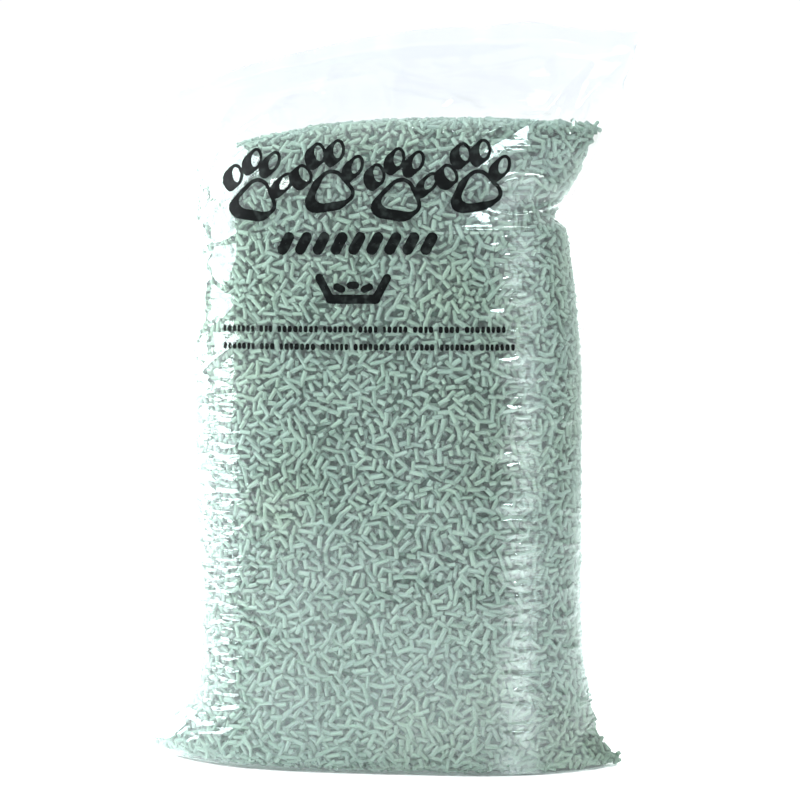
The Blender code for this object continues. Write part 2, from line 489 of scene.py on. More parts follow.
@dataclass
class Tube:
    """The welded tube's form, as sections from the base to the lip, the same ones that the sack is built on.

    A station holds its left end's x and z, its right end's x and z, its half depth, how long its front stays
    flat, how round its ends are, and how far its middle stands above the line between its ends.
    """

    film: float = 0.2 * MM
    girth: float = 1.10
    stations: np.ndarray = field(
        default_factory=lambda: np.array(
            [
                (-0.2454, 0.0, 0.2621, 0.0, 0.082, 3.4, 1.05, 0.0),
                (-0.2725, 0.009, 0.2735, 0.004, 0.093, 3.4, 1.05, 0.0),
                (-0.2756, 0.018, 0.2683, 0.012, 0.098, 3.4, 1.1, 0.0),
                (-0.2642, 0.032, 0.2558, 0.023, 0.102, 3.5, 1.2, 0.0),
                (-0.2475, 0.045, 0.2444, 0.038, 0.104, 3.5, 1.4, 0.0),
                (-0.2319, 0.062, 0.2361, 0.062, 0.106, 3.6, 1.65, 0.0),
                (-0.2236, 0.090, 0.2288, 0.095, 0.108, 3.6, 1.85, 0.0),
                (-0.2174, 0.135, 0.2236, 0.145, 0.110, 3.6, 2.0, 0.0),
                (-0.2153, 0.200, 0.222, 0.205, 0.111, 3.6, 2.0, 0.0),
                (-0.2163, 0.280, 0.2215, 0.280, 0.111, 3.6, 2.0, 0.0),
                (-0.2174, 0.360, 0.221, 0.355, 0.110, 3.6, 2.0, 0.0),
                (-0.2184, 0.440, 0.2205, 0.430, 0.109, 3.6, 2.0, 0.0),
                (-0.2194, 0.515, 0.2163, 0.500, 0.108, 3.6, 2.0, 0.0),
                (-0.2194, 0.575, 0.2101, 0.560, 0.106, 3.5, 2.0, 0.0),
                (-0.2205, 0.610, 0.2049, 0.596, 0.104, 3.4, 2.0, 0.0),
                (-0.2215, 0.632, 0.1924, 0.617, 0.102, 3.3, 1.9, 0.0),
                (-0.2226, 0.648, 0.207, 0.638, 0.099, 3.2, 1.9, 0.0),
                (-0.2246, 0.662, 0.2205, 0.664, 0.093, 3.1, 1.8, 0.0),
                (-0.2267, 0.677, 0.235, 0.692, 0.083, 3.0, 1.7, 0.004),
                (-0.2288, 0.692, 0.240, 0.712, 0.069, 2.9, 1.6, 0.010),
                (-0.234, 0.706, 0.249, 0.732, 0.053, 2.9, 1.5, 0.018),
                (-0.2402, 0.718, 0.260, 0.754, 0.036, 2.8, 1.3, 0.025),
                (-0.2444, 0.728, 0.270, 0.776, 0.018, 2.8, 1.2, 0.031),
                (-0.2465, 0.737, 0.277, 0.797, 0.0004, 6.0, 2.0, 0.034),
                (-0.2454, 0.747, 0.283, 0.811, 0.0004, 6.0, 2.0, 0.036),
            ]
        )
    )
    weld: int = 23
    fill_top: int = 19

    def shift(self) -> float:
        """How far the body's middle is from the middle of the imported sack's box."""
        reach = self.stations[:, 0].min() + self.stations[:, 2].max()
        return (SACK_LOW[0] + SACK_HIGH[0]) / 2 - reach / 2

    def station_at(self, place: float) -> np.ndarray:
        """The section at a place between stations, on a smooth curve through them that never overshoots."""
        last = len(self.stations) - 1
        k = min(int(place), last - 1)
        t = place - k
        around = [self.stations[min(max(k + step, 0), last)] for step in (-1, 0, 1, 2)]
        before, low, high, after = around
        slopes = []
        for left, right in ((low - before, high - low), (high - low, after - high)):
            same = left * right > 0
            total = np.where(same, left + right, 1.0)
            slopes.append(np.where(same, 2 * left * right / total, 0.0))
        a = 2 * t**3 - 3 * t**2 + 1
        b = t**3 - 2 * t**2 + t
        c = 3 * t**2 - 2 * t**3
        d = t**3 - t**2
        return a * low + b * slopes[0] + c * high + d * slopes[1]

    def ring(self, place: float, columns: int, inset: float = 0.0, scale: float = 1.0,
             rise: float = 0.0) -> tuple[np.ndarray, np.ndarray]:
        """One closed section of the tube.

        Args:
            place: where along the stations.
            columns: faces along its front, and again along its back.
            inset: how far inside the film it lies, and twice that at its ends.
            scale: its size as a share of the full section.
            rise: how far it is lifted.

        Returns:
            Its points, along the front from left to right and then along the back, and each point's distance
            round the tube from the middle of the front.
        """
        left_x, left_z, right_x, right_z, depth, flat, roundness, bow = self.station_at(place)
        half_width = ((right_x - left_x) / 2 - 2 * inset) * scale
        half_depth = max(depth - inset, self.film / 2) * scale
        centre = (right_x + left_x) / 2
        across = -np.cos(np.linspace(0.0, math.pi, 30 * columns + 1))
        x = half_width * across
        y = half_depth * np.maximum(0.0, 1.0 - np.abs(across) ** flat) ** (1.0 / roundness)
        along = np.concatenate([[0.0], np.cumsum(np.hypot(np.diff(x), np.diff(y)))])
        wanted = np.linspace(0.0, along[-1], columns + 1)
        x, y = np.interp(wanted, along, x), np.interp(wanted, along, y)
        xs = np.concatenate([x, x[-2:0:-1]])
        ys = np.concatenate([-y, y[-2:0:-1]])
        share = (centre + xs - left_x) / (right_x - left_x)
        zs = left_z + share * (right_z - left_z) + bow * (1 - (2 * share - 1) ** 2) + rise
        away = wanted - along[-1] / 2
        behind = along[-1] - away[-2:0:-1]
        return np.stack([centre + xs + self.shift(), ys, zs], axis=1), np.concatenate([away, behind])

    def places(self, first: float, last: float, step: float) -> np.ndarray:
        """Places along the stations, evenly spaced up the middle of the front."""
        fine = np.linspace(first, last, 600)
        middles = np.array([self.station_at(p) for p in fine])
        height = (middles[:, 1] + middles[:, 3]) / 2 + middles[:, 7]
        along = np.concatenate([[0.0], np.cumsum(np.hypot(np.diff(height), np.diff(middles[:, 4])))])
        rows = max(2, round(along[-1] / step))
        return np.interp(np.linspace(0.0, along[-1], rows + 1), along, fine)


@dataclass(frozen=True)
class Crease:
    """A raised crease in the film, in metres round the tube from the middle of its front, and in height."""

    s: float
    z: float
    length: float
    width: float
    height: float
    angle: float = 0.0
    arch: float = 0.0

    def lift(self, s: np.ndarray, z: np.ndarray) -> np.ndarray:
        """How far it lifts the film.

        Args:
            s: distances round the tube.
            z: heights.

        Returns:
            The lift at each point.
        """
        turn = math.radians(self.angle)
        ds, dz = s - self.s, z - self.z
        along = (ds * math.cos(turn) + dz * math.sin(turn)) / (self.length / 2)
        off = -ds * math.sin(turn) + dz * math.cos(turn) - self.arch * (1 - along**2)
        taper = np.clip(1 - along**2, 0.0, 1.0) ** 0.7
        return self.height * taper * np.exp(-np.abs(off / self.width) ** 1.4)


@dataclass(frozen=True)
class PuckerRun:
    """A column of short puckers: where it is round the tube, its lowest and highest, and their sizes."""

    s: float
    low: float
    high: float
    step: float
    length: float
    spread: float  # degrees that a pucker may lean to each side
    height: float

    def creases(self, chance: np.random.Generator) -> list[Crease]:
        """Strews the puckers up the column.

        Args:
            chance: the source of random numbers.

        Returns:
            The puckers.
        """
        made = []
        z = self.low
        while z < self.high:
            made.append(
                Crease(
                    s=self.s + chance.normal(0.0, 0.006),
                    z=z,
                    length=self.length * chance.uniform(0.6, 1.5),
                    width=chance.uniform(1.7, 3.6) * MM,
                    height=self.height * chance.uniform(0.35, 1.15),
                    angle=chance.uniform(-self.spread, self.spread),
                    arch=chance.normal(0.0, 0.0018),
                )
            )
            z += self.step * chance.uniform(0.65, 1.35)
        return made


@dataclass
class FilmSack:
    """The film as one closed skin: base, body, ears, folds, headspace and weld bands."""

    tube: Tube
    columns: int = 108  # faces along the front, and again along the back
    row_step: float = 2.0 * MM
    ease: float = 0.5 * MM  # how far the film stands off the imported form
    swell: float = 1.3 * MM
    ripple: float = 0.45 * MM
    slack: float = 3.2 * MM  # the soft ridges above the litter
    slack_from: float = 0.67
    thin: float = 0.03  # creases fade where the sack is thinner than this to each side
    glare_top: float = 0.70
    seed: int = 7

    def crinkles(self) -> list[Crease]:
        """The columns of short puckers where the flat front and back turn round the sides."""
        chance = np.random.default_rng(self.seed)
        half = self.tube.girth / 2
        runs = (
            PuckerRun(0.158, 0.03, 0.59, 0.0135, 0.034, 12.0, 0.0030),
            PuckerRun(0.186, 0.04, 0.58, 0.022, 0.028, 18.0, 0.0022),
            PuckerRun(0.215, 0.05, 0.56, 0.040, 0.030, 22.0, 0.0018),
            PuckerRun(-0.172, 0.04, 0.40, 0.014, 0.046, 34.0, 0.0030),
            PuckerRun(-0.172, 0.40, 0.63, 0.034, 0.060, 40.0, 0.0024),
            PuckerRun(-0.205, 0.05, 0.42, 0.020, 0.044, 40.0, 0.0026),
            PuckerRun(-0.215, 0.42, 0.62, 0.050, 0.060, 50.0, 0.0020),
            PuckerRun(-0.135, 0.08, 0.40, 0.036, 0.032, 40.0, 0.0014),
            PuckerRun(half - 0.165, 0.03, 0.60, 0.019, 0.036, 14.0, 0.0020),
            PuckerRun(half + 0.165, 0.03, 0.60, 0.021, 0.040, 22.0, 0.0020),
            PuckerRun(half / 2, 0.05, 0.58, 0.035, 0.040, 30.0, 0.0014),
            PuckerRun(half * 1.5, 0.05, 0.60, 0.032, 0.040, 35.0, 0.0014),
        )
        return [crease for run in runs for crease in run.creases(chance)]

    def folds(self) -> list[Crease]:
        """The larger folds of the shoulders, the headspace, the notch and the bottom corners."""
        return [
            Crease(0.172, 0.640, 0.085, 3.4 * MM, 6.5 * MM, 0, 0.013),
            Crease(0.172, 0.622, 0.078, 3.0 * MM, 5.0 * MM, 2, -0.012),
            Crease(0.122, 0.596, 0.125, 2.2 * MM, 2.8 * MM, 0),
            Crease(0.142, 0.579, 0.036, 2.0 * MM, 1.8 * MM, 0),
            Crease(0.130, 0.560, 0.036, 2.0 * MM, 1.8 * MM, -32),
            Crease(0.205, 0.622, 0.080, 4.0 * MM, 4.0 * MM, 12),
            Crease(0.128, 0.703, 0.095, 5.0 * MM, 7.5 * MM, 20),
            Crease(0.060, 0.705, 0.120, 5.0 * MM, 3.0 * MM, -8),
            Crease(0.215, 0.715, 0.090, 3.0 * MM, 4.5 * MM, 80),
            Crease(0.190, 0.745, 0.120, 4.0 * MM, 3.5 * MM, 58),
            Crease(0.235, 0.760, 0.100, 3.0 * MM, 3.0 * MM, 50),
            Crease(-0.150, 0.715, 0.110, 3.4 * MM, 3.6 * MM, 35),
            Crease(-0.195, 0.700, 0.100, 3.4 * MM, 4.0 * MM, 62),
            Crease(-0.090, 0.748, 0.120, 4.0 * MM, 3.0 * MM, 14),
            Crease(-0.060, 0.778, 0.100, 3.0 * MM, 3.0 * MM, 8),
            Crease(0.020, 0.760, 0.140, 4.0 * MM, 2.6 * MM, -12),
            Crease(0.110, 0.772, 0.130, 3.4 * MM, 2.4 * MM, 10),
            Crease(-0.200, 0.640, 0.110, 3.0 * MM, 3.0 * MM, 78),
            Crease(-0.225, 0.050, 0.085, 2.6 * MM, 3.0 * MM, 48),
            Crease(-0.205, 0.030, 0.070, 2.4 * MM, 2.4 * MM, 30),
            Crease(-0.190, 0.075, 0.070, 2.4 * MM, 2.2 * MM, 60),
            Crease(0.225, 0.050, 0.080, 2.6 * MM, 2.8 * MM, -50),
            Crease(0.205, 0.026, 0.070, 2.4 * MM, 2.4 * MM, -18),
            Crease(0.150, 0.034, 0.072, 2.2 * MM, 2.2 * MM, 2),
            Crease(0.390, 0.700, 0.120, 3.4 * MM, 3.6 * MM, -30),
            Crease(0.330, 0.640, 0.090, 2.8 * MM, 3.4 * MM, 8, 0.010),
            Crease(0.470, 0.740, 0.140, 4.0 * MM, 3.0 * MM, 12),
            Crease(0.590, 0.760, 0.130, 3.6 * MM, 3.0 * MM, -10),
            Crease(0.690, 0.705, 0.120, 3.4 * MM, 3.6 * MM, 30),
            Crease(0.320, 0.050, 0.080, 2.6 * MM, 2.8 * MM, 48),
            Crease(0.745, 0.050, 0.080, 2.6 * MM, 2.8 * MM, -48),
        ]

    def drape(self, points: np.ndarray) -> np.ndarray:
        """The soft swell of the film, and finer slack above the litter.

        Args:
            points: places on the film.

        Returns:
            The lift at each of them.
        """
        lift = np.empty(len(points))
        for i, (x, y, z) in enumerate(points):
            swell = noise.noise(Vector((x * 11.0, y * 11.0, z * 8.0)))
            ripple = noise.noise(Vector((x * 46.0 + 3.0, y * 46.0, z * 60.0)))
            slack = min(max((z - self.slack_from) / 0.05, 0.0), 1.0)
            ridge = 1.0 - abs(noise.noise(Vector((x * 17.0 + 9.0, y * 17.0, z * 21.0))))
            lift[i] = self.swell * (swell + 0.4) + self.ripple * (ripple + 0.5)
            lift[i] += slack * self.slack * ridge**8
        return lift

    def add_creases(self, lift: np.ndarray, s: np.ndarray, z: np.ndarray) -> None:
        """Adds every crease to the lift, on the left side also from behind.

        Args:
            lift: the lift at each point, which is added to.
            s: distances round the tube.
            z: heights.
        """
        creases = self.crinkles() + self.folds()
        for crease in creases:
            reach = crease.length / 2 + 0.03
            near = (np.abs(z - crease.z) < reach) & (np.abs(s - crease.s) < reach)
            lift[near] += crease.lift(s[near], z[near])
        behind = s > self.tube.girth * 0.75
        wrapped = np.where(behind, s - self.tube.girth, s)
        for crease in creases:
            if crease.s < 0:
                near = behind & (np.abs(wrapped - crease.s) < crease.length)
                lift[near] += crease.lift(wrapped[near], z[near])

    def build(self) -> bpy.types.Object:
        """Builds the skin.

        Returns:
            Its object.
        """
        places = self.tube.places(0.0, len(self.tube.stations) - 1.0, self.row_step)
        rings = [self.tube.ring(place, self.columns) for place in places]
        grid = np.array([ring for ring, _ in rings])
        s = np.array([away for _, away in rings])
        side = np.roll(grid, -1, axis=1) - np.roll(grid, 1, axis=1)
        out = np.cross(side, np.gradient(grid, axis=0))
        out /= np.maximum(np.linalg.norm(out, axis=2, keepdims=True), 1e-12)
        lift = self.ease + self.drape(grid.reshape(-1, 3))
        self.add_creases(lift, s.reshape(-1), grid[:, :, 2].reshape(-1))
        depth = np.interp(places, np.arange(len(self.tube.stations)), self.tube.stations[:, 4])
        loose = np.clip(depth / self.thin, 0.0, 1.0) * np.clip((places + 0.15) / 1.5, 0.0, 1.0)
        lift = lift.reshape(s.shape) * loose[:, None]
        grid = grid + out * lift[:, :, None]
        self.wave_lip(grid, places)
        grid[0, :, 2] = 0.0
        grid[:, :, 2] = np.maximum(grid[:, :, 2], 0.0)
        full = np.clip((self.glare_top - grid[:, :, 2]) / 0.04, 0.0, 1.0)
        masks = {"pucker": self.pucker_mask(s, grid[:, :, 2]), "taut": self.taut_mask(s) * full}
        return self.mesh(grid, places, masks)

    def taut_mask(self, s: np.ndarray) -> np.ndarray:
        """Where the film is drawn smooth round the sides, by distance round the tube."""
        mask = np.zeros_like(s)
        half = self.tube.girth / 2
        sides = ((0.158, 0.020), (half * 1.5 + 0.087, 0.046), (half + 0.160, 0.03), (half - 0.160, 0.03))
        for middle, reach in sides:
            mask = np.maximum(mask, np.exp(-(np.abs((s - middle) / reach) ** 2.4)))
        return mask

    def pucker_mask(self, s: np.ndarray, z: np.ndarray) -> np.ndarray:
        """Where fine tucks gather, at the turns between the sack's flats and its sides.

        Args:
            s: distances round the tube.
            z: heights.

        Returns:
            The share of the full tuck depth at each point.
        """
        half = self.tube.girth / 2
        mask = np.zeros_like(s)
        turns = (
            (0.160, 0.017, 1.0),
            (-0.178, 0.036, 0.8),
            (self.tube.girth - 0.178, 0.036, 0.8),
            (half - 0.165, 0.020, 0.9),
            (half + 0.165, 0.022, 0.9),
            (half / 2, 0.030, 0.4),
            (half * 1.5, 0.03, 0.4),
        )
        for middle, reach, share in turns:
            taut = np.clip((0.46 - z) / 0.16, 0.12, 1.0) if share == 0.8 else 1.0
            mask = np.maximum(mask, share * taut * np.exp(-(((s - middle) / reach) ** 2)))
        return mask * np.clip((0.66 - z) / 0.06, 0.15, 1.0) * np.clip(z / 0.05, 0.3, 1.0)

    def wave_lip(self, grid: np.ndarray, places: np.ndarray) -> None:
        """Bends both layers of the headspace together, so that the welded lip waves and leans a little.

        Args:
            grid: rows of points, which are moved.
            places: each row's place along the stations.
        """
        share = np.clip((places - 19.0) / 5.0, 0.0, 1.0) ** 1.5
        for row in np.flatnonzero(share):
            for column in range(grid.shape[1]):
                x = grid[row, column, 0]
                broad = noise.noise(Vector((x * 9.0, 4.0, 0.0))) * 11.0
                fine = noise.noise(Vector((x * 31.0, 8.0, 0.0))) * 3.0
                grid[row, column, 1] += share[row] * (broad + fine) * MM
                grid[row, column, 2] += share[row] * 4.0 * MM * noise.noise(Vector((x * 16.0, 2.0, 5.0)))

    def mesh(self, grid: np.ndarray, places: np.ndarray, masks: dict[str, np.ndarray]) -> bpy.types.Object:
        """Turns the grid into one closed mesh with its masks.

        Args:
            grid: rows of points.
            places: each row's place along the stations.
            masks: the named masks, a value for each point.

        Returns:
            The object.
        """
        rows, around, _ = grid.shape
        faces = [quad(row, column, around) for row in range(rows - 1) for column in range(around)]
        for column in range(self.columns):
            mirror = (around - column) % around
            beyond = around - column - 1
            top = (rows - 1) * around
            base = (column, mirror, beyond, column + 1)
            lip = (top + column, top + column + 1, top + beyond, top + mirror)
            for corners in (base, lip):
                kept = tuple(dict.fromkeys(corners))
                if len(kept) > 2:
                    faces.append(kept)
        made = new_object("clear_film", grid.reshape(-1, 3), faces)
        band = (places > self.tube.weld - 0.1) & (places < self.tube.weld + 0.75)
        mask = made.data.attributes.new("weld", "FLOAT", "POINT")
        mask.data.foreach_set("value", np.repeat(band.astype(np.float32), around))
        for name, values in masks.items():
            layer = made.data.attributes.new(name, "FLOAT", "POINT")
            layer.data.foreach_set("value", values.astype(np.float32).ravel())
        made.data.shade_smooth()
        return made


def quad(row: int, column: int, around: int) -> tuple[int, int, int, int]:
    """One face of a stack of closed rings, as vertex numbers.

    Args:
        row: the ring under it.
        column: its place along the ring.
        around: the number of points in a ring.

    Returns:
        Its corners.
    """
    after = (column + 1) % around
    low, high = row * around, (row + 1) * around
    return low + column, low + after, high + after, high + column


def new_object(name: str, points: np.ndarray, faces: list[tuple[int, ...]]) -> bpy.types.Object:
    """Makes a mesh object at the origin.

    Args:
        name: its name.
        points: its vertices.
        faces: its faces, as vertex numbers.

    Returns:
        The object.
    """
    mesh = bpy.data.meshes.new(name)
    mesh.from_pydata([tuple(p) for p in points], [], faces)
    mesh.validate()
    mesh.update()
    made = bpy.data.objects.new(name, mesh)
    bpy.context.scene.collection.objects.link(made)
    return made


# ------------------------------------------------------------------------------
# The litter
# ------------------------------------------------------------------------------


PELLET_SIDES = 8  # each pellet has two rings of this many points


@dataclass
class PelletLayer:
    """One layer of pellets laid on a seat surface by Geometry Nodes."""

    name: str
    spacing: float
    depth: tuple[float, float]
    tilt: float
    seed: int
    # The tone range; a deeper layer is given a darker range as painted shade.
    tone_and_depth_shade: tuple[float, float] = (0.0, 1.0)
    radius: float = 2.4 * MM
    length: float = 12.2 * MM
    density: float = 60000.0  # the most that a square metre may hold
    width_range: tuple[float, float] = (0.85, 1.12)
    length_range: tuple[float, float] = (0.45, 1.4)
    lump_scale: float = 110.0
    lump_height: float = 0.9 * MM

    def tree(self) -> bpy.types.NodeTree:
        """Builds the tree, with its sizes as named inputs.

        Returns:
            The tree.
        """
        tree = bpy.data.node_groups.new(self.name, "GeometryNodeTree")
        face = tree.interface
        face.new_socket("Geometry", in_out="INPUT", socket_type="NodeSocketGeometry")
        for name in ("Spacing", "Radius", "Length", "Shallowest", "Deepest", "Tilt", "Darkest", "Lightest"):
            face.new_socket(name, in_out="INPUT", socket_type="NodeSocketFloat")
        face.new_socket("Seed", in_out="INPUT", socket_type="NodeSocketInt")
        face.new_socket("Material", in_out="INPUT", socket_type="NodeSocketMaterial")
        face.new_socket("Geometry", in_out="OUTPUT", socket_type="NodeSocketGeometry")
        nodes = Nodes(tree)
        entry = nodes.add("NodeGroupInput").outputs
        scatter = nodes.add("GeometryNodeDistributePointsOnFaces", distribute_method="POISSON")
        scatter.inputs["Density Max"].default_value = self.density
        nodes.join(entry["Geometry"], scatter.inputs["Mesh"])
        nodes.join(entry["Spacing"], scatter.inputs["Distance Min"])
        nodes.join(entry["Seed"], scatter.inputs["Seed"])
        sink = nodes.add("GeometryNodeSetPosition")
        inward = nodes.add("ShaderNodeVectorMath", operation="SCALE")
        nodes.join(scatter.outputs["Normal"], inward.inputs[0])
        nodes.join(self.chance(nodes, entry["Shallowest"], entry["Deepest"], 1), inward.inputs["Scale"])
        nodes.join(scatter.outputs["Points"], sink.inputs["Geometry"])
        nodes.join(inward.outputs[0], sink.inputs["Offset"])
        downwards = nodes.math("MULTIPLY", entry["Tilt"], -1.0)
        tip = nodes.math("ADD", self.chance(nodes, downwards, entry["Tilt"], 2), math.pi / 2)
        spin = self.turned(nodes, scatter.outputs["Rotation"], "Z", self.chance(nodes, 0.0, 2 * math.pi, 3))
        laid = self.turned(nodes, spin, "X", tip)
        pellet = nodes.add("GeometryNodeMeshCylinder", fill_type="NGON")
        pellet.inputs["Vertices"].default_value = PELLET_SIDES
        nodes.join(entry["Radius"], pellet.inputs["Radius"])
        nodes.join(entry["Length"], pellet.inputs["Depth"])
        size = nodes.add("ShaderNodeCombineXYZ")
        nodes.join(self.chance(nodes, *self.width_range, 4), size.inputs[0])
        nodes.join(self.chance(nodes, *self.width_range, 5), size.inputs[1])
        nodes.join(self.chance(nodes, *self.length_range, 6), size.inputs[2])
        place = nodes.add("GeometryNodeInstanceOnPoints")
        nodes.join(sink.outputs[0], place.inputs["Points"])
        nodes.join(pellet.outputs["Mesh"], place.inputs["Instance"])
        nodes.join(laid, place.inputs["Rotation"])
        nodes.join(size.outputs[0], place.inputs["Scale"])
        shown = place.outputs[0]
        shades = (("tone_and_depth_shade", 7, entry["Darkest"], entry["Lightest"]), ("hue", 8, 0.0, 1.0))
        for name, seed, low, high in shades:
            store = nodes.add("GeometryNodeStoreNamedAttribute", data_type="FLOAT", domain="INSTANCE")
            store.inputs["Name"].default_value = name
            nodes.join(shown, store.inputs["Geometry"])
            nodes.join(self.chance(nodes, low, high, seed), store.inputs["Value"])
            shown = store.outputs[0]
        real = nodes.add("GeometryNodeRealizeInstances")
        nodes.join(shown, real.inputs[0])
        knead = nodes.add("GeometryNodeSetPosition")
        lumps = nodes.add("ShaderNodeTexNoise")
        lumps.inputs["Scale"].default_value = self.lump_scale
        middle = nodes.add("ShaderNodeVectorMath", operation="SUBTRACT")
        middle.inputs[1].default_value = (0.5, 0.5, 0.5)
        strength = nodes.add("ShaderNodeVectorMath", operation="SCALE")
        strength.inputs["Scale"].default_value = self.lump_height
        nodes.join(lumps.outputs["Color"], middle.inputs[0])
        nodes.join(middle.outputs[0], strength.inputs[0])
        nodes.join(real.outputs[0], knead.inputs["Geometry"])
        nodes.join(strength.outputs[0], knead.inputs["Offset"])
        dress = nodes.add("GeometryNodeSetMaterial")
        nodes.join(knead.outputs[0], dress.inputs["Geometry"])
        nodes.join(entry["Material"], dress.inputs["Material"])
        nodes.join(dress.outputs[0], nodes.add("NodeGroupOutput").inputs[0])
        return tree

    @staticmethod
    def chance(nodes: Nodes, low: object, high: object, seed: int) -> bpy.types.NodeSocket:
        """A random number between two sockets or numbers, different for each pellet."""
        node = nodes.add("FunctionNodeRandomValue", data_type="FLOAT")
        for place, value in ((2, low), (3, high)):
            if isinstance(value, bpy.types.NodeSocket):
                nodes.join(value, node.inputs[place])
            else:
                node.inputs[place].default_value = value
        node.inputs["Seed"].default_value = seed
        return node.outputs[1]

    @staticmethod
    def turned(nodes: Nodes, start: bpy.types.NodeSocket, axis: str, angle: bpy.types.NodeSocket
               ) -> bpy.types.NodeSocket:
        """A rotation turned further about its own X, Y or Z."""
        euler = nodes.add("ShaderNodeCombineXYZ")
        nodes.join(angle, euler.inputs["XYZ".index(axis)])
        turn = nodes.add("FunctionNodeEulerToRotation")
        nodes.join(euler.outputs[0], turn.inputs[0])
        both = nodes.add("FunctionNodeRotateRotation", rotation_space="LOCAL")
        nodes.join(start, both.inputs[0])
        nodes.join(turn.outputs[0], both.inputs[1])
        return both.outputs[0]

    def lay(self, seat: bpy.types.Object, paper: bpy.types.Material, extra: int) -> bpy.types.Mesh:
        """Runs the tree on a seat surface.

        Args:
            seat: the surface that the pellets lie under.
            paper: their material.
            extra: added to the seed, so that no two surfaces match.

        Returns:
            The plain mesh of the pellets.
        """
        tree = self.tree()
        modifier = seat.modifiers.new("pellets", "NODES")
        modifier.node_group = tree
        values = {
            "Spacing": self.spacing,
            "Radius": self.radius,
            "Length": self.length,
            "Shallowest": -self.depth[0],
            "Deepest": -self.depth[1],
            "Tilt": math.radians(self.tilt),
            "Darkest": self.tone_and_depth_shade[0],
            "Lightest": self.tone_and_depth_shade[1],
            "Seed": self.seed + extra,
            "Material": paper,
        }
        for item in tree.interface.items_tree:
            if item.in_out == "INPUT" and item.name in values:
                modifier[item.identifier] = values[item.name]
        graph = bpy.context.evaluated_depsgraph_get()
        mesh = bpy.data.meshes.new_from_object(seat.evaluated_get(graph), depsgraph=graph)
        seat.modifiers.remove(modifier)
        return mesh


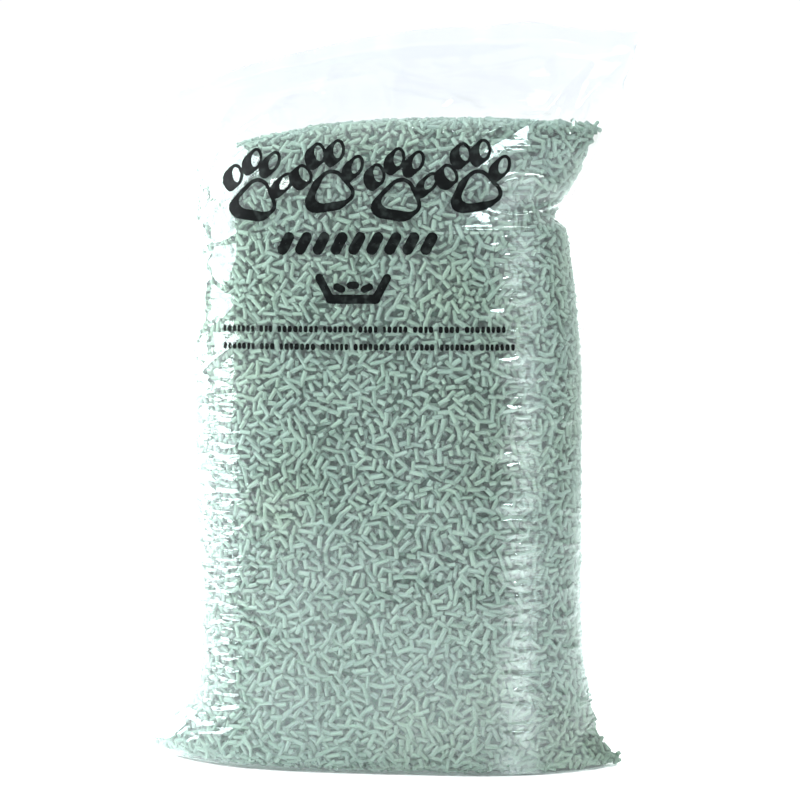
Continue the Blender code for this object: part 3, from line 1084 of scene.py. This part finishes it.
@dataclass
class LitterHeap:
    """The litter: a core coloured near black as painted shade, and two layers of pellets under the film, on
    each side and on top.
    """

    tube: Tube
    core_depth: float = 12.0 * MM
    columns: int = 72
    row_step: float = 8.0 * MM
    # The crown's rings: share of the section's size, and rise in millimetres.
    crown: tuple[tuple[float, float], ...] = (
        (0.93, 2.0), (0.82, 4.0), (0.66, 5.8), (0.5, 7.0), (0.35, 8.2), (0.2, 9.0), (0.08, 9.2),
    )
    base_share: float = 0.86  # the base is covered in from its rim to this share of its size
    front_reach: float = 0.155  # how far round from its middle the front goes, and the back from its own
    pinch: float = 8.0 * MM  # pellets keep out of corners of the film thinner than this to each side
    ears_below: float = 0.048  # the corners below this and above the next are thin
    ears_above: float = 0.655
    base_gap: float = 0.8 * MM  # room between the pellets and the floor
    sag: float = 11.0 * MM  # how much lower the litter is at its top left

    def rings(self, inset: float) -> tuple[list[np.ndarray], list[np.ndarray], int]:
        """The heap's sections.

        Args:
            inset: how far inside the film they lie.

        Returns:
            Their points, each point's distance round the tube, and how many sections are wall.
        """
        places = self.tube.places(0.0, float(self.tube.fill_top), self.row_step)
        wall = [self.tube.ring(0.0, self.columns, inset, self.base_share)]
        wall += [self.tube.ring(place, self.columns, inset) for place in places]
        for points, _ in wall[:2]:
            points[:, 2] += inset
        top = float(self.tube.fill_top)
        crown = [
            self.tube.ring(top, self.columns, inset, scale, rise * MM - max(0.0, inset - 4 * MM))
            for scale, rise in self.crown
        ]
        both = wall + crown
        for points, _ in both:
            aside = np.clip((-points[:, 0] - 0.07) / 0.13, 0.0, 1.0)
            points[:, 2] -= self.sag * aside * np.clip((points[:, 2] - 0.60) / 0.08, 0.0, 1.0)
        return [points for points, _ in both], [away for _, away in both], len(wall)

    def core(self, deep: bpy.types.Material) -> bpy.types.Object:
        """Builds the core, coloured near black as painted shade, one closed lumpy solid.

        Args:
            deep: its material.

        Returns:
            Its object.
        """
        rings, _, _ = self.rings(self.core_depth)
        around = len(rings[0])
        points = np.concatenate(rings)
        for i, (x, y, z) in enumerate(points):
            lump = noise.noise(Vector((x * 130.0, y * 130.0, z * 130.0)))
            points[i, :2] *= 1.0 + 0.012 * lump
        points[:, 2] = np.maximum(points[:, 2], 1.0 * MM)
        faces = [quad(row, column, around) for row in range(len(rings) - 1) for column in range(around)]
        faces.append(tuple(reversed(range(around))))
        faces.append(tuple(range((len(rings) - 1) * around, len(rings) * around)))
        made = new_object("litter_core", points, faces)
        made.data.shade_smooth()
        made.data.materials.append(deep)
        return made

    def seat(self, side: Side) -> bpy.types.Object:
        """Builds the stretch of the film's inside that the pellets of one side lie against.

        Args:
            side: which side.

        Returns:
            Its object.
        """
        rings, away, walls = self.rings(0.0)
        around = len(rings[0])
        half = self.tube.girth / 2
        points = np.concatenate(rings)
        faces = []
        for r in range(len(rings) - 1):
            for c in range(around):
                s = away[r][c]
                if r >= walls - 1:
                    here = Side.TOP
                elif abs(s) < self.front_reach:
                    here = Side.FRONT
                elif abs(s - half) < self.front_reach:
                    here = Side.BACK
                else:
                    here = Side.RIGHT if 0 < s < half else Side.LEFT
                corner = points[r * around + c]
                pinched = abs(corner[1]) < self.pinch and not self.ears_below < corner[2] < self.ears_above
                if here is side and not pinched:
                    faces.append(quad(r, c, around))
        return new_object(f"seat_{side.value}", points, faces)

    def pellets(self, side: Side, paper: bpy.types.Material) -> bpy.types.Object:
        """The pellets of one side, joined into one piece.

        Args:
            side: which side.
            paper: their material.

        Returns:
            The object.
        """
        name = side.value
        near = PelletLayer(f"near {name}", 7.4 * MM, (4.0 * MM, 6.2 * MM), tilt=13.0, seed=10, tone_and_depth_shade=(0.42, 1.0))
        # Painted shade: the deeper layer takes the darker part of the tone range.
        far = PelletLayer(f"far {name}", 7.0 * MM, (7.6 * MM, 10.0 * MM), tilt=28.0, seed=50, tone_and_depth_shade=(0.0, 0.42))
        seat = self.seat(side)
        made = []
        for layer in (near, far):
            mesh = layer.lay(seat, paper, len(name) * 3)
            piece = bpy.data.objects.new(f"pellets_{name}", mesh)
            bpy.context.scene.collection.objects.link(piece)
            made.append(piece)
        bpy.data.objects.remove(seat, do_unlink=True)
        with bpy.context.temp_override(active_object=made[0], object=made[0], selected_objects=made,
                                       selected_editable_objects=made):
            bpy.ops.object.join()
        self.rest_on_base(made[0].data)
        made[0].data.shade_smooth()
        made[0].data.set_sharp_from_angle(angle=math.radians(50))
        return made[0]

    def rest_on_base(self, mesh: bpy.types.Mesh) -> None:
        """Lifts each pellet that reaches below the base, so that it rests on the film there."""
        points = np.empty(len(mesh.vertices) * 3, dtype=np.float32)
        mesh.vertices.foreach_get("co", points)
        pellets = points.reshape(-1, 2 * PELLET_SIDES, 3)
        lowest = pellets[:, :, 2].min(axis=1)
        pellets[:, :, 2] += np.maximum(self.base_gap - lowest, 0.0)[:, None]
        mesh.vertices.foreach_set("co", pellets.ravel())
        mesh.update()


# ------------------------------------------------------------------------------
# The print
# ------------------------------------------------------------------------------


@dataclass
class FrontPrint:
    """A plain one-colour print on the upper front: outlined paw prints with block shadows, and rows of bars.

    Its places are in metres from the middle of the body and from the floor.
    """

    film: bpy.types.Object
    middle: float
    lift: float = 0.25 * MM
    layer: float = 0.12 * MM
    step: float = 3.0 * MM  # the size of its faces
    paws: int = 4
    paw_size: float = 0.084
    paw_place: tuple[float, float] = (-0.127, 0.651)
    paw_pitch: float = 0.079
    paw_turn: float = 9.0
    slashes: int = 9
    slash_size: tuple[float, float] = (0.0265, 0.0118)
    slash_place: tuple[float, float] = (-0.096, 0.582)
    slash_pitch: float = 0.0195
    tray_place: tuple[float, float] = (-0.022, 0.533)
    rows: tuple[tuple[float, float, float], ...] = ((0.4895, -0.168, 0.138), (0.4705, -0.168, 0.120))
    row_height: float = 0.0072
    points: list[tuple[float, float]] = field(default_factory=list)
    faces: list[tuple[int, ...]] = field(default_factory=list)

    def strip(self, first: np.ndarray, second: np.ndarray, closed: bool = True, across: int = 2) -> None:
        """Fills the band between two outlines with small faces.

        Args:
            first: one outline.
            second: the other, with as many points.
            closed: whether the outlines are closed.
            across: faces across the band.
        """
        count = len(first)
        start = len(self.points)
        for k in range(across + 1):
            share = k / across
            self.points.extend(tuple(p) for p in first * (1 - share) + second * share)
        for k in range(across):
            for i in range(count if closed else count - 1):
                j = (i + 1) % count
                a, b = start + k * count, start + (k + 1) * count
                self.faces.append((a + i, a + j, b + j, b + i))

    def solid(self, outline: np.ndarray) -> None:
        """Fills an outline."""
        middle = outline.mean(axis=0)
        reach = np.linalg.norm(outline - middle, axis=1).max()
        self.strip(outline, middle + (outline - middle) * 0.02, True, max(2, round(reach / self.step)))

    def blocked(self, outline: np.ndarray, border: float, shift: tuple[float, float]) -> None:
        """Draws an outline as a border with a block shadow to one side.

        Args:
            outline: the outer edge, anticlockwise.
            border: how wide the border is.
            shift: how far the shadow reaches, across and up.
        """
        ahead = np.roll(outline, -1, axis=0) - np.roll(outline, 1, axis=0)
        out = np.stack([ahead[:, 1], -ahead[:, 0]], axis=1)
        out /= np.linalg.norm(out, axis=1, keepdims=True)
        self.strip(outline, outline - out * border, True, 2)
        faces_shadow = out @ np.array(shift) > 0
        first = int(np.flatnonzero(faces_shadow & ~np.roll(faces_shadow, 1))[0])
        run = [(first + k) % len(outline) for k in range(int(faces_shadow.sum()))]
        edge = outline[run]
        self.strip(edge + np.array(shift), edge, False, 3)

    @staticmethod
    def oval(centre: tuple[float, float], across: float, up: float, turn: float,
             count: int = 36) -> np.ndarray:
        """An oval outline, anticlockwise.

        Args:
            centre: its middle.
            across: its half width.
            up: its half height.
            turn: its turn in degrees.
            count: its number of points.

        Returns:
            Its points.
        """
        angle = np.linspace(0.0, 2 * math.pi, count, endpoint=False)
        x, z = across * np.cos(angle), up * np.sin(angle)
        t = math.radians(turn)
        turned = np.stack([x * math.cos(t) - z * math.sin(t), x * math.sin(t) + z * math.cos(t)], axis=1)
        return turned + np.array(centre)

    @staticmethod
    def bar(centre: tuple[float, float], length: float, height: float, turn: float = 0.0) -> np.ndarray:
        """The outline of a bar with round ends, anticlockwise, in small steps.

        Args:
            centre: its middle.
            length: its length.
            height: its height.
            turn: its turn in degrees.

        Returns:
            Its points.
        """
        radius = height / 2
        straight = length / 2 - radius
        steps = max(2, round(2 * straight / (3 * MM)))
        bend = np.linspace(-math.pi / 2, math.pi / 2, 9)
        right = np.stack([straight + radius * np.cos(bend), radius * np.sin(bend)], axis=1)
        level = np.linspace(straight, -straight, steps + 1)[1:-1]
        top = np.stack([level, np.full(steps - 1, radius)], axis=1)
        outline = np.concatenate([right, top, -right, -top])
        t = math.radians(turn)
        spin = np.array([[math.cos(t), math.sin(t)], [-math.sin(t), math.cos(t)]])
        return outline @ spin + np.array(centre)

    def paw(self, x: float, z: float, size: float, turn: float) -> None:
        """One outlined paw print: a three-lobed pad and four toes.

        Args:
            x: its middle, across.
            z: its middle, up.
            size: its height.
            turn: its turn in degrees.
        """
        t = math.radians(turn)
        shadow = (-0.085 * size, -0.075 * size)

        def placed(dx: float, dz: float) -> tuple[float, float]:
            """A point of the paw, turned and set in place."""
            return (
                x + size * (dx * math.cos(t) - dz * math.sin(t)),
                z + size * (dx * math.sin(t) + dz * math.cos(t)),
            )

        angle = np.linspace(0.0, 2 * math.pi, 54, endpoint=False)
        reach = size * 0.235 * (1.0 + 0.13 * np.cos(3 * (angle - math.pi / 2)))
        pad = np.stack([reach * 1.15 * np.cos(angle), reach * np.sin(angle)], axis=1)
        spin = np.array([[math.cos(t), math.sin(t)], [-math.sin(t), math.cos(t)]])
        self.blocked(pad @ spin + np.array(placed(0.0, -0.20)), 0.052 * size, shadow)
        toes = ((-0.34, 0.06, 24.0), (-0.125, 0.30, 7.0), (0.125, 0.30, -7.0), (0.34, 0.06, -24.0))
        for dx, dz, lean in toes:
            toe = self.oval(placed(dx, dz), 0.098 * size, 0.145 * size, turn + lean)
            self.blocked(toe, 0.042 * size, shadow)

    def lay_out(self) -> None:
        """Draws every motif."""
        x, z = self.paw_place
        for k in range(self.paws):
            nudge, turn = (0.005, self.paw_turn) if k % 2 else (-0.004, -self.paw_turn)
            self.paw(x + self.paw_pitch * k, z + nudge, self.paw_size, turn)
        x, z = self.slash_place
        for k in range(self.slashes):
            self.solid(self.bar((x + self.slash_pitch * k, z), *self.slash_size, 62.0))
        self.tray(*self.tray_place)
        chance = np.random.default_rng(3)
        for z, x, end in self.rows:
            while x < end:
                for _ in range(chance.integers(3, 9)):
                    width = chance.uniform(3.2, 5.0) * MM
                    self.solid(self.bar((x + width / 2, z), self.row_height, width, 90.0))
                    x += width + 1.5 * MM
                x += 4.5 * MM

    def tray(self, x: float, z: float) -> None:
        """A litter tray as three bold bars with three grains above it."""
        self.solid(self.bar((x, z - 0.011), 0.060, 0.010))
        self.solid(self.bar((x - 0.031, z + 0.001), 0.034, 0.009, 118.0))
        self.solid(self.bar((x + 0.031, z + 0.001), 0.034, 0.009, 62.0))
        for step in (-1, 0, 1):
            centre = (x + 0.015 * step, z + 0.004 - 0.003 * abs(step))
            self.solid(self.bar(centre, 0.014, 0.008, 24.0 * step))

    def build(self) -> bpy.types.Object:
        """Lays the motifs on the film and gives them a thickness.

        Returns:
            The ink's object.
        """
        self.lay_out()
        graph = bpy.context.evaluated_depsgraph_get()
        tree = BVHTree.FromObject(self.film, graph)
        placed = []
        for x, z in self.points:
            hit, normal, _, _ = tree.ray_cast(Vector((self.middle + x, -0.4, z)), Vector((0.0, 1.0, 0.0)))
            placed.append(hit + normal * self.lift)
        made = new_object("front_print", np.array(placed), self.faces)
        self.face_outwards(made)
        thick = made.modifiers.new("layer", "SOLIDIFY")
        thick.thickness = self.layer
        thick.offset = -1.0
        graph = bpy.context.evaluated_depsgraph_get()
        mesh = bpy.data.meshes.new_from_object(made.evaluated_get(graph), depsgraph=graph)
        made.modifiers.clear()
        made.data = mesh
        mesh.shade_smooth()
        mesh.set_sharp_from_angle(angle=math.radians(60))
        return made

    @staticmethod
    def face_outwards(made: bpy.types.Object) -> None:
        """Turns round each face that looks into the sack."""
        mesh = bmesh.new()
        mesh.from_mesh(made.data)
        bmesh.ops.reverse_faces(mesh, faces=[f for f in mesh.faces if f.normal.y > 0])
        mesh.to_mesh(made.data)
        mesh.free()


# ------------------------------------------------------------------------------
# The studio
# ------------------------------------------------------------------------------


@dataclass
class Studio:
    """Floor, lights and camera."""

    azimuth: float = 7.0
    elevation: float = 4.0
    distance: float = 3.0
    view_width: float = 0.895
    aim: tuple[float, float, float] = (0.012, 0.0, 0.406)
    floor_radius: float = 40.0
    floor_sides: int = 96
    floor_drop: float = 0.4 * MM
    surround: float = 1.03

    def floor(self) -> bpy.types.Object:
        """Lays a round pale floor.

        Returns:
            Its object.
        """
        angle = np.linspace(0.0, 2 * math.pi, self.floor_sides, endpoint=False)
        level = np.full(self.floor_sides, -self.floor_drop)
        rim = np.stack([self.floor_radius * np.cos(angle), self.floor_radius * np.sin(angle), level], axis=1)
        made = new_object("studio_floor", rim, [tuple(range(self.floor_sides))])
        made.data.materials.append(StudioFloor().make())
        return made

    def lamp(self, name: str, place: tuple[float, float, float], size: tuple[float, float], power: float,
             colour: tuple[float, float, float] = (1.0, 1.0, 1.0)) -> None:
        """Adds a softbox that faces the middle of the sack.

        Args:
            name: its name.
            place: where it stands.
            size: its width and height.
            power: its watts.
            colour: its tint.
        """
        data = bpy.data.lights.new(name, "AREA")
        data.color = colour
        data.shape = "RECTANGLE"
        data.size, data.size_y = size
        data.energy = power
        made = bpy.data.objects.new(name, data)
        made.location = place
        made.rotation_euler = (Vector(self.aim) - Vector(place)).to_track_quat("-Z", "Y").to_euler()
        bpy.context.scene.collection.objects.link(made)

    def light(self) -> None:
        """Adds the softboxes and the white surround."""
        self.lamp("softbox_left", (-1.75, -0.62, 1.20), (1.1, 2.0), 118.0, (0.93, 0.97, 1.0))
        self.lamp("softbox_left_rear", (-1.78, 0.62, 1.20), (1.25, 2.0), 140.0, (0.93, 0.97, 1.0))
        self.lamp("softbox_right", (0.82, -1.49, 1.95), (0.60, 0.70), 34.0, (0.90, 0.95, 1.0))
        self.lamp("softbox_low", (2.0, -0.85, 0.70), (1.5, 1.6), 11.0, (0.88, 0.94, 1.0))
        self.lamp("softbox_right_high", (0.95, 0.40, 2.05), (0.9, 0.9), 34.0)
        self.lamp("softbox_key", (-1.1, -2.3, 2.0), (0.6, 0.6), 22.0)
        self.lamp("softbox_back", (0.6, 1.9, 1.1), (1.2, 1.2), 30.0)
        self.lamp("softbox_top", (0.1, -0.5, 2.1), (1.4, 1.0), 6.0)
        world = bpy.data.worlds.new("surround")
        world.use_nodes = True
        sky = world.node_tree.nodes["Background"]
        sky.inputs["Color"].default_value = (1.0, 1.0, 1.0, 1.0)
        sky.inputs["Strength"].default_value = self.surround
        bpy.context.scene.world = world
        bpy.context.scene.view_settings.view_transform = "Standard"

    def camera(self) -> None:
        """Adds the camera."""
        a, e = math.radians(self.azimuth), math.radians(self.elevation)
        back = Vector((math.sin(a) * math.cos(e), -math.cos(a) * math.cos(e), math.sin(e)))
        data = bpy.data.cameras.new("camera")
        data.lens = data.sensor_width * self.distance / self.view_width
        made = bpy.data.objects.new("camera", data)
        made.location = Vector(self.aim) + back * self.distance
        made.rotation_mode = "QUATERNION"
        made.rotation_quaternion = (-back).to_track_quat("-Z", "Y")
        bpy.context.scene.collection.objects.link(made)
        bpy.context.scene.camera = made


def main() -> None:
    """Builds the sack's parts in order and tells the frame about each."""
    studio = Studio()
    studio.camera()
    studio.light()
    studio.floor()
    tube = Tube()
    fibre = fibre_grain_group()
    film = FilmSack(tube).build()
    film.data.materials.append(ClearFilm().make())
    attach(film, "root")
    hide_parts("film_sack")
    log.info("clear_film: %d faces", len(film.data.polygons))
    ink = FrontPrint(film, tube.shift()).build()
    ink.data.materials.append(BlackInk().make())
    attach(ink, "root")
    log.info("front_print: %d faces", len(ink.data.polygons))
    heap = LitterHeap(tube)
    paper = PaperPellet().make(fibre)
    core = heap.core(PaintedShadeLitter().make(fibre))
    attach(core, "root")
    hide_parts("litter_fill")
    for side in Side:
        piece = heap.pellets(side, paper)
        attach(piece, "root")
        log.info("%s: %d faces", piece.name, len(piece.data.polygons))


if __name__ == "__main__":
    main()
